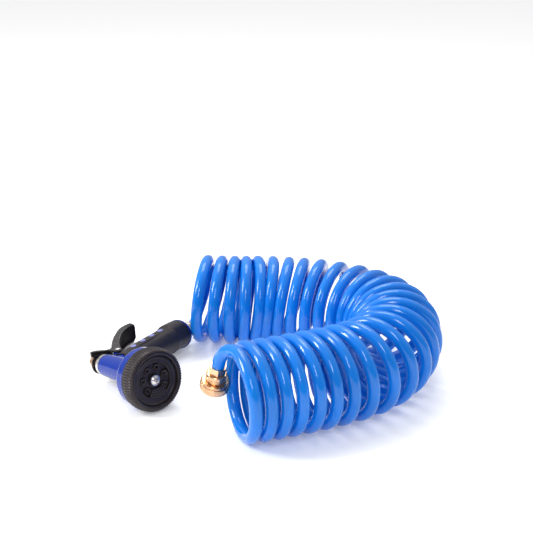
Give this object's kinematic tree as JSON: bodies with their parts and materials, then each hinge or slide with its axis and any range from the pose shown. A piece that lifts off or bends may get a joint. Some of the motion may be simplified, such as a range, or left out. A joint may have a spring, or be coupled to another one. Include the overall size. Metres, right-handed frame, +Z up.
{
  "type": "hose-end spray nozzle with coil hose",
  "caption": "Pistol-grip garden spray nozzle with a rear trigger and a turning pattern dial, on a self-coiling hose that ends in a brass swivel coupling.",
  "frame": {"origin": "bottom centre of the nozzle's bounding box, on the surface it lies on", "axes": "+Z up; -Y is the way the spray leaves; +X is the way the handle reaches from the barrel; the trigger is behind the handle, towards +Y"},
  "size_m": [0.365, 0.3815, 0.104],
  "materials": {
    "hose_blue": "glossy translucent blue polyurethane",
    "shell_blue": "glossy deep blue moulding",
    "black_plastic": "satin black moulding",
    "grip_rubber": "soft matt black overmould",
    "inlay_blue": "satin lavender blue",
    "ferrule_cream": "satin pale gold",
    "brass": "bright turned brass",
    "steel": "bright zinc",
    "seal_rubber": "soft"
  },
  "bodies": {
    "nozzle": {"barrel_housing": "shell_blue", "dial_spindle": "brass", "dial_screw": "steel", "dial_washer": "steel", "dial_seal": "seal_rubber", "detent_ball": "steel", "detent_spring": "steel", "gland_gasket": "seal_rubber", "gland_nut": "steel", "stem_seals": "seal_rubber", "lever_pin": "steel", "handle_tube": "shell_blue", "grip_sleeve": "grip_rubber", "grip_inlays": "inlay_blue", "grip_collar": "shell_blue", "inlet_washer": "seal_rubber", "inlet_connector": "black_plastic", "inlet_ferrule": "ferrule_cream", "hose_lead": "hose_blue", "hose_coil": "hose_blue", "hose_tail": "hose_blue", "tail_ferrule": "brass", "tail_stem": "brass", "valve_spring": "steel"},
    "dial": {"dial_ring": "black_plastic", "dial_face": "black_plastic"},
    "lever": {"trigger_lever": "black_plastic"},
    "valve": {"valve_stem": "steel", "valve_plug": "seal_rubber"},
    "flow_nut": {"flow_nut": "brass"},
    "swivel": {"swivel_nut": "brass", "nut_washer": "seal_rubber"}
  },
  "joints": [
    {"name": "dial_turn", "type": "hinge", "parent": "nozzle", "child": "dial", "pos_m": [-0.05894, -0.08375, 0.03411], "axis": [0, 0.9925, -0.1219], "continuous": true},
    {"name": "trigger", "type": "hinge", "parent": "nozzle", "child": "lever", "pos_m": [-0.03844, 0.00856, 0.02278], "axis": [0, -0.1219, -0.9925], "range_deg": [0, 16], "stiffness_Nm_per_rad": 0.5, "springref_deg": -17.19},
    {"name": "valve_slide", "type": "slide", "parent": "nozzle", "child": "valve", "axis": [0, 0.9925, -0.1219], "range_m": [0, 0.0058], "deforming": ["valve_spring"]},
    {"name": "flow_nut_turn", "type": "hinge", "parent": "valve", "child": "flow_nut", "pos_m": [-0.05894, 0.02345, 0.02095], "axis": [0, 0.9925, -0.1219], "continuous": true},
    {"name": "swivel_turn", "type": "hinge", "parent": "nozzle", "child": "swivel", "pos_m": [-0.03709, -0.16429, 0.04975], "axis": [0.11, 0.4, -0.9099], "continuous": true}
  ],
  "couplings": [
    {"joint": "valve_slide", "follows": "trigger", "m_per_rad": 0.0206}
  ]
}
